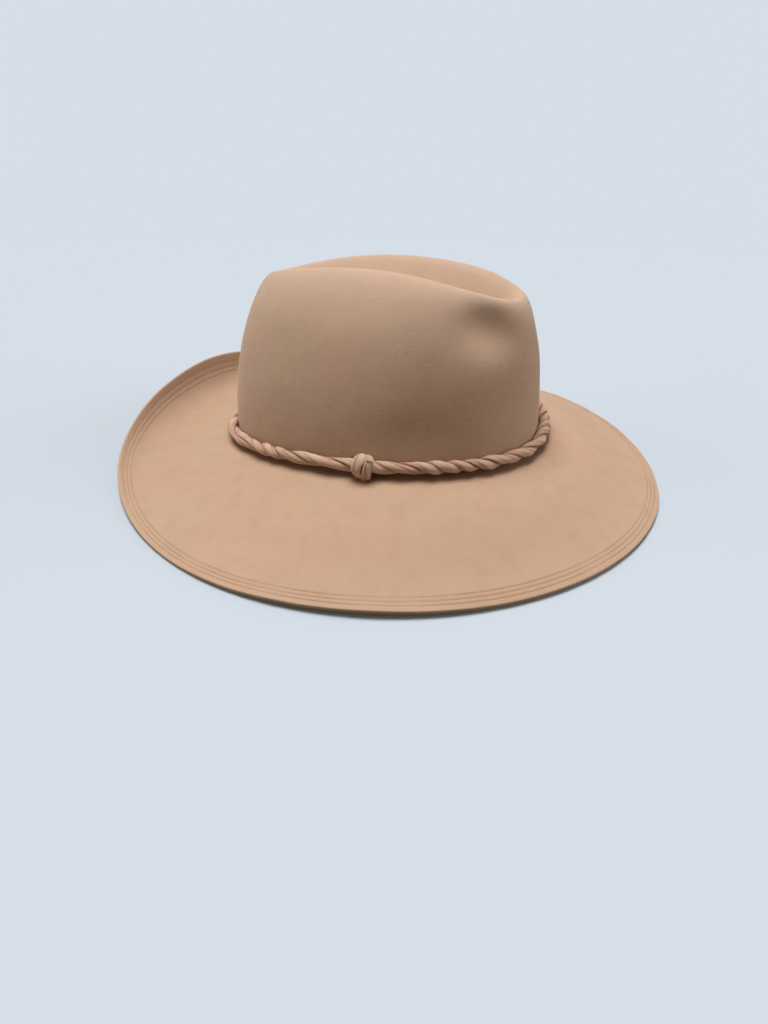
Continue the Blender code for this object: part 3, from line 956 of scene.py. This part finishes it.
def band_path(hat, band, degrees):
    """Points on the band's centre line."""
    fine = np.arange(0.0, 360.0, 0.25)
    plan, normal, level = break_line(hat, fine)
    ring = rest(hat, plan + normal * band_offset(hat, band), level + band.height)
    wrapped = np.mod(degrees, 360.0)
    return np.stack([np.interp(wrapped, fine, ring[:, k], period=360.0) for k in range(3)], axis=1)


def path_frame(hat, band, degrees):
    """Matrix at one place of the band: X along it, Y up, Z out from the crown."""
    step = 0.5
    places = band_path(hat, band, np.array([degrees - step, degrees, degrees + step]))
    before, here, after = (Vector(p) for p in places)
    along = (after - before).normalized()
    up = Vector((0.0, math.sin(hat.rest_tilt), math.cos(hat.rest_tilt)))
    out = along.cross(up).normalized()
    matrix = Matrix((along, out.cross(along), out)).transposed().to_4x4()
    matrix.translation = here
    return matrix


def knot_angle():
    """Angle of the knot's middle round the hat."""
    middle = (KNOT_LOW + KNOT_HIGH) / 2
    return math.degrees(math.atan2(middle.x, -middle.y))


def fold_depths(walked, turns):
    """Depth of the folds as a share of the radius and the painted shade in and beside them, for
    sections at distances along the strip and places round the strip in turns."""
    weakest, strength_length, crease_width, gentle_shade, dark_from = 0.78, 0.57, 1.6, 0.45, 0.20
    depth = np.zeros((len(walked), len(turns)))
    shade = np.zeros_like(depth)
    for fold in FOLDS:
        swing = np.sin(2.0 * np.pi * (walked / fold.length + fold.phase))
        place = fold.place + fold.wander * swing
        wave = np.sin(2.0 * np.pi * (walked / (fold.length * strength_length) - fold.phase))
        strength = weakest + (1.0 - weakest) * wave
        away = (turns[None, :] - place[:, None] + 0.5) % 1.0 - 0.5
        steep = np.exp(-np.abs(away) / fold.sharp) * (away < 0.0)
        gentle = np.exp(-np.abs(away) / fold.soft) * (away >= 0.0)
        depth += fold.depth * strength[:, None] * (steep + gentle)
        near = np.exp(-(away / (fold.sharp * crease_width)) ** 2)
        near = np.maximum(near, gentle_shade * gentle * gentle)
        shade = np.maximum(shade, near * strength[:, None] * min(1.0, fold.depth / dark_from))
    return depth, shade


def twist_at(band, walked):
    """Turns of the strip at distances along it: a twist that slackens, with slow swings."""
    share = walked / walked[-1]
    turns = walked / band.lead * (1.0 + band.slackening * (1.0 - share))
    for swing in TWIST_SWINGS:
        turns = turns + swing.turns * np.sin(2.0 * np.pi * (walked / swing.length + swing.phase))
    return turns


class BandStrip(bpy.types.Operator):
    """Models the suede strip, twisted into a cord with folds along it, round the crown."""

    bl_idname = "hat.band_strip"
    bl_label = "Band Strip"

    def execute(self, context):
        hat, band = context.scene.hat_shape, context.scene.hat_band
        middle = knot_angle()
        angles = np.linspace(middle, middle + 360.0, band.rings)
        centres = band_path(hat, band, angles)
        steps = np.linalg.norm(np.diff(centres, axis=0), axis=1)
        walked = np.concatenate([[0.0], np.cumsum(steps)])
        frames = [path_frame(hat, band, a) for a in angles]
        up, out = (np.array([f.col[axis][:3] for f in frames]) for axis in (1, 2))
        turns = np.arange(band.sides) / band.sides
        depth, shade = fold_depths(walked, turns)
        spin = 2.0 * np.pi * (turns[None, :] + twist_at(band, walked)[:, None])
        around = 2.0 * np.pi * turns[None, :]
        swell = sum((row.share * np.sin(2.0 * np.pi * walked / row.size + row.shift)
                     for row in STRIP_SWELLS), 1.0)
        radius = band.radius * swell[:, None] * (1.03 - band.waist * np.sin(around) ** 2 - depth)
        points = (centres[:, None, :] + up[:, None, :] * (np.cos(spin) * radius)[..., None]
                  + out[:, None, :] * (np.sin(spin) * radius)[..., None])
        strip_place = np.stack(np.broadcast_arrays(
            walked[:, None], band.radius * np.cos(around), band.radius * np.sin(around)), axis=2)
        # Painted highlight where the strip bulges out.
        painted_highlight = np.clip((radius / band.radius - 0.88) / 0.15, 0.0, 1.0)
        # The stored fold value is the painted shade in and beside the folds.
        piece = add_mesh(
            "band_strip", points.reshape(-1, 3), tube_faces(band.rings, band.sides),
            finish_named("twisted_suede", suede_finish),
            {"strip_place": strip_place.reshape(-1, 3), "fold": shade.ravel(),
             "painted_highlight": painted_highlight.ravel()})
        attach(piece, "root")
        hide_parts("twisted_band")
        return {"FINISHED"}


class KnotWraps(bpy.types.Operator):
    """Models the knot: a round core, two flat wraps over it and the strip's corner tip."""

    bl_idname = "hat.knot_wraps"
    bl_label = "Knot Wraps"

    def execute(self, context):
        hat, band = context.scene.hat_shape, context.scene.hat_band
        place = path_frame(hat, band, knot_angle())
        points, faces, extra = knot_parts(context.scene.hat_knot)
        shift = Vector((0.0, context.scene.hat_knot.drop, 0.0))
        placed = [place @ (Vector(p) + shift) for p in points]
        piece = add_mesh("knot_wraps", placed, faces,
                         finish_named("twisted_suede", suede_finish), extra)
        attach(piece, "root")
        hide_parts("knot")
        return {"FINISHED"}


def knot_parts(knot):
    """Points, faces and stored values of the knot's core, wraps and tip, before placing."""
    points, faces = [], []
    values = {"strip_place": [], "fold": [], "painted_highlight": []}
    for shape, shape_faces, places, fold, painted_highlight in (
            knot_core(knot), knot_wrap(knot, WIDE_WRAP, peak=0.045),
            knot_wrap(knot, NARROW_WRAP, peak=0.0), knot_tip(knot)):
        start = len(points)
        points += [tuple(p) for p in shape]
        faces += [tuple(start + k for k in face) for face in shape_faces]
        values["strip_place"] += [tuple(p) for p in places]
        values["fold"] += list(fold)
        values["painted_highlight"] += list(painted_highlight)
    return points, faces, {key: np.array(kept) for key, kept in values.items()}


def knot_core(knot):
    """A round body that fills the knot behind its wraps."""
    half_length, half_height, half_depth = 0.44 * knot.length, 0.43 * knot.height, 0.43 * knot.depth
    # Painted shade: the core, deep behind the wraps, takes most of the dark fold colour.
    painted_core_shade = 0.75
    shape = []
    for ring in range(CORE_RINGS):
        turn = math.pi * (ring + 0.5) / CORE_RINGS
        for side in range(CORE_SIDES):
            around = side * 2.0 * math.pi / CORE_SIDES
            shape.append((-half_length * math.cos(turn),
                          half_height * math.sin(turn) * math.cos(around),
                          half_depth * math.sin(turn) * math.sin(around)))
    count = len(shape)
    return shape, tube_faces(CORE_RINGS, CORE_SIDES), shape, [painted_core_shade] * count, [0.0] * count


def round_table(rows, name, degrees):
    """A column of a table that closes on itself, at each angle, on a smooth curve."""
    knots = np.array([row.turn for row in rows], float)
    values = np.array([getattr(row, name) for row in rows], float)
    before, after = np.roll(values, 1), np.roll(values, -1)
    slopes = (after - before) / ((np.roll(knots, -1) - np.roll(knots, 1)) % 360.0)
    left = np.searchsorted(knots, degrees % 360.0, side="right") - 1
    right = (left + 1) % len(rows)
    span = (knots[right] - knots[left]) % 360.0
    t = (degrees % 360.0 - knots[left]) / span
    return hermite(t, values[left], slopes[left] * span, values[right], slopes[right] * span)


def knot_wrap(knot, rows, peak):
    """A flat strip that goes once round the knot, as a closed ring. It has a soft valley along
    it, and a peak of the given share of the knot's height where it turns over the top."""
    squareness, valley_place, valley_width, valley_depth, curl_depth = 0.6, -0.22, 0.20, 0.30, 0.25
    degrees = np.arange(WRAP_RINGS) * 360.0 / WRAP_RINGS
    turn = np.radians(degrees)[:, None]
    middle = round_table(rows, "middle", degrees)[:, None] * knot.length
    width = round_table(rows, "width", degrees)[:, None] * knot.length
    lift = round_table(rows, "lift", degrees)[:, None] * knot.strip
    around = np.arange(WRAP_SIDES)[None, :] * 2.0 * math.pi / WRAP_SIDES
    across, above = (np.sign(wave) * np.abs(wave) ** squareness
                     for wave in (np.cos(around), np.sin(around)))
    valley = np.exp(-((across - valley_place + 0.1 * np.sin(2.0 * turn)) / valley_width) ** 2)
    outer = (above > 0.0) * above
    sunk = valley_depth * valley * outer + curl_depth * np.abs(across) ** 4
    height = (0.5 * above - sunk) * knot.strip + lift
    along = middle + across * width / 2
    half_length, least_rounding = 0.56 * knot.length, 0.12
    rounding = np.sqrt(np.clip(1.0 - (along / half_length) ** 2, least_rounding, 1.0))
    peak_place, peak_width = -0.05, 0.45
    peaked = np.exp(-((across - peak_place) / peak_width) ** 2) * peak
    top = np.clip(np.cos(turn), 0.0, 1.0) ** 3 * peaked
    tall = knot.height * (0.5 * rounding + top) - knot.strip / 2 + height
    deep = knot.depth * 0.5 * rounding - knot.strip / 2 + height
    shape = np.stack([along, np.cos(turn) * tall, np.sin(turn) * deep], axis=2)
    walked = turn * (knot.height + knot.depth) / 4 + peak
    places = np.stack(np.broadcast_arrays(walked, across * width / 2, height), axis=2)
    # Painted shade in the wrap's valley and along its edges.
    edge_width = 0.07
    fold = 0.45 * valley * outer + 0.8 * rising(np.abs(across) - 1.0 + edge_width, edge_width)
    # Painted highlight on the wrap's outer face, strongest over its top.
    painted_highlight = outer * (1.0 - valley) * (0.55 + 0.45 * np.cos(turn))
    faces = []
    for ring in range(WRAP_RINGS):
        after = (ring + 1) % WRAP_RINGS
        faces += turned_over(quads_between(ring * WRAP_SIDES, after * WRAP_SIDES, WRAP_SIDES))
    return (shape.reshape(-1, 3), faces, places.reshape(-1, 3), fold.ravel(),
            np.clip(painted_highlight, 0.0, 1.0).ravel())


def knot_tip(knot):
    """The pointed corner of the strip that stands out of the knot above the band."""
    start = Vector((0.22 * knot.length, 0.44 * knot.height, 0.16 * knot.depth))
    end = Vector((0.60 * knot.length, 0.33 * knot.height, 0.30 * knot.depth))
    ahead = (end - start).normalized()
    faces_towards, end_width, squareness = Vector((0.1, 0.75, 0.65)), 0.0002, 0.7
    face = faces_towards.cross(ahead).cross(ahead).normalized()
    side_way = ahead.cross(face)
    shape, places, painted_highlight = [], [], []
    for ring in range(TIP_RINGS):
        share = ring / (TIP_RINGS - 1)
        centre = start.lerp(end, share) - face * 0.05 * knot.height * math.sin(math.pi * share)
        half_width = 0.115 * knot.height * (1.0 - share) ** 0.8 + end_width / 2
        half_thick = 0.45 * knot.strip * (1.0 - 0.6 * share)
        for side in range(TIP_SIDES):
            around = side * 2.0 * math.pi / TIP_SIDES
            wide, thick = (math.copysign(abs(wave) ** squareness, wave) * half for wave, half in (
                (math.cos(around), half_width), (math.sin(around), half_thick)))
            shape.append(centre + side_way * wide + face * thick)
            places.append((share * 0.4 * knot.length, wide, thick))
            # Painted highlight growing towards the tip.
            painted_highlight.append(0.8 * share)
    return shape, tube_faces(TIP_RINGS, TIP_SIDES), places, [0.0] * len(shape), painted_highlight


class HatStage(bpy.types.Operator):
    """Sets the pale floor, the soft light and the camera."""

    bl_idname = "hat.stage"
    bl_label = "Stage"

    def execute(self, context):
        stage, colours = context.scene.hat_stage, context.scene.hat_colours
        floor = stage_floor(stage, colours)
        stage_light(context, stage)
        stage_camera(context, stage)
        context.scene.view_settings.view_transform = "Standard"
        return {"FINISHED"}


def floor_finish(stage, colours):
    """Matt paint on the flat floor, turning into an even glow of the same tone up the sweep."""
    make = Finish("pale_floor")
    height = make.node("ShaderNodeSeparateXYZ", sockets={"Vector": make.place()}, output="Z")
    paint = make.node("ShaderNodeBsdfDiffuse", sockets={"Color": (*colours.floor, 1.0)})
    fills = (stage.left_fill + stage.right_fill) * math.cos(stage.fill_tilt)
    lamps = (stage.key_strength * math.cos(stage.key_tilt) + fills) / math.pi
    tone = [c * (lamps + stage.sky * s) for c, s in zip(colours.floor, stage.sky_colour)]
    glow = make.node("ShaderNodeEmission", sockets={"Color": (*tone, 1.0)})
    return make.ended_in("ShaderNodeMixShader", {
        "Fac": height.between(0.0, stage.sweep_radius / 200), 1: paint, 2: glow})


def stage_floor(stage, colours):
    """A floor that sweeps up into a backdrop all round."""
    flat_steps, sweep_steps, sides = 6, 16, 96
    below_hat, middle_radius, wall_height = -0.0001, 0.001, stage.sweep_radius * 2.2
    profile = [(stage.floor_radius * k / flat_steps, below_hat) for k in range(flat_steps + 1)]
    profile[0] = (middle_radius, below_hat)
    for step in range(1, sweep_steps + 1):
        turn = step / sweep_steps * math.pi / 2
        profile.append((stage.floor_radius + stage.sweep_radius * math.sin(turn),
                        stage.sweep_radius * (1.0 - math.cos(turn))))
    profile.append((profile[-1][0], wall_height))
    points, faces = [], []
    for radius, height in profile:
        for side in range(sides):
            turn = side * 2.0 * math.pi / sides
            points.append((radius * math.cos(turn), radius * math.sin(turn), height))
    for ring in range(len(profile) - 1):
        faces += turned_over(quads_between(ring * sides, (ring + 1) * sides, sides))
    faces.append(tuple(range(sides)))
    floor = add_mesh("pale_floor", points, faces, floor_finish(stage, colours))
    floor.visible_shadow = False
    floor.visible_diffuse = False
    return floor


def distant_light(context, name, strength, softness, tilt, bearing):
    """A soft light from far away, tilted from the zenith towards a bearing round the hat."""
    data = bpy.data.lights.new(name, "SUN")
    data.energy = strength
    data.angle = softness
    light = bpy.data.objects.new(name, data)
    towards = Vector((math.sin(bearing) * math.sin(tilt), -math.cos(bearing) * math.sin(tilt),
                      math.cos(tilt)))
    light.location = towards * 2.0
    light.rotation_mode = "QUATERNION"
    light.rotation_quaternion = (-towards).to_track_quat("-Z", "Y")
    context.scene.collection.objects.link(light)


def stage_light(context, stage):
    """One soft light overhead, a weak one at each side, and even light from all round."""
    distant_light(context, "key_light", stage.key_strength, stage.key_softness, stage.key_tilt,
                  stage.key_bearing)
    for name, strength, side in (("left_fill", stage.left_fill, -math.pi / 2),
                                 ("right_fill", stage.right_fill, math.pi / 2)):
        distant_light(context, name, strength, stage.key_softness * 1.5, stage.fill_tilt,
                      stage.azimuth + side)
    world = bpy.data.worlds.new("even_light")
    world.use_nodes = True
    background = world.node_tree.nodes["Background"]
    background.inputs["Color"].default_value = (*stage.sky_colour, 1.0)
    background.inputs["Strength"].default_value = stage.sky
    context.scene.world = world


def stage_camera(context, stage):
    """The camera, placed round the hat's middle by its angles."""
    turn, rise = stage.azimuth, stage.elevation
    back = Vector((math.sin(turn) * math.cos(rise), -math.cos(turn) * math.cos(rise), math.sin(rise)))
    middle = Vector((0.0, stage.middle_along, stage.middle_up))
    spot = middle + back * stage.distance
    aim = middle + Vector((math.cos(turn), math.sin(turn), 0.0)) * stage.aim_across
    aim.z += stage.aim_up
    ahead = (aim - spot).normalized()
    right = ahead.cross(Vector((0.0, 0.0, 1.0))).normalized()
    up = right.cross(ahead)
    rolled_right = right * math.cos(stage.roll) + up * math.sin(stage.roll)
    rolled_up = up * math.cos(stage.roll) - right * math.sin(stage.roll)
    matrix = Matrix((rolled_right, rolled_up, -ahead)).transposed().to_4x4()
    matrix.translation = spot
    data = bpy.data.cameras.new("camera")
    data.sensor_width = 36.0
    data.lens = data.sensor_width * stage.focal_pixels / stage.picture_height
    data.shift_y = (stage.centre_pixel - stage.picture_height / 2) / stage.picture_height
    data.clip_start = 0.01
    camera = bpy.data.objects.new("camera", data)
    camera.matrix_world = matrix
    context.scene.collection.objects.link(camera)
    context.scene.camera = camera


class HatPanel(bpy.types.Panel):
    """Lists the hat's pieces and the stage."""

    bl_idname = "VIEW3D_PT_hat"
    bl_label = "Wide-Brim Hat"
    bl_space_type = "VIEW_3D"
    bl_region_type = "UI"
    bl_category = "Hat"

    def draw(self, context):
        column = self.layout.column()
        for operator in OPERATORS:
            column.operator(operator.bl_idname)
        for name, group in SETTINGS.items():
            box = column.box()
            box.label(text=group.__doc__)
            for key in group.__annotations__:
                box.prop(getattr(context.scene, name), key)


SETTINGS = {
    "hat_shape": HatShape,
    "hat_stitches": StitchSizes,
    "hat_band": BandSizes,
    "hat_knot": KnotSizes,
    "hat_colours": HatColours,
    "hat_stage": StageSizes,
}
OPERATORS = (HatStage, CrownAndBrim, BrimStitches, BandStrip, KnotWraps)


def register():
    for group in SETTINGS.values():
        bpy.utils.register_class(group)
    for name, group in SETTINGS.items():
        setattr(bpy.types.Scene, name, PointerProperty(type=group))
    for operator in OPERATORS:
        bpy.utils.register_class(operator)
    bpy.utils.register_class(HatPanel)


def unregister():
    bpy.utils.unregister_class(HatPanel)
    for operator in reversed(OPERATORS):
        bpy.utils.unregister_class(operator)
    for name, group in SETTINGS.items():
        delattr(bpy.types.Scene, name)
        bpy.utils.unregister_class(group)


def main():
    """Registers the classes and makes every piece."""
    register()
    bpy.ops.hat.stage()
    bpy.ops.hat.crown_and_brim()
    bpy.ops.hat.brim_stitches()
    bpy.ops.hat.band_strip()
    bpy.ops.hat.knot_wraps()


if __name__ == "__main__":
    main()
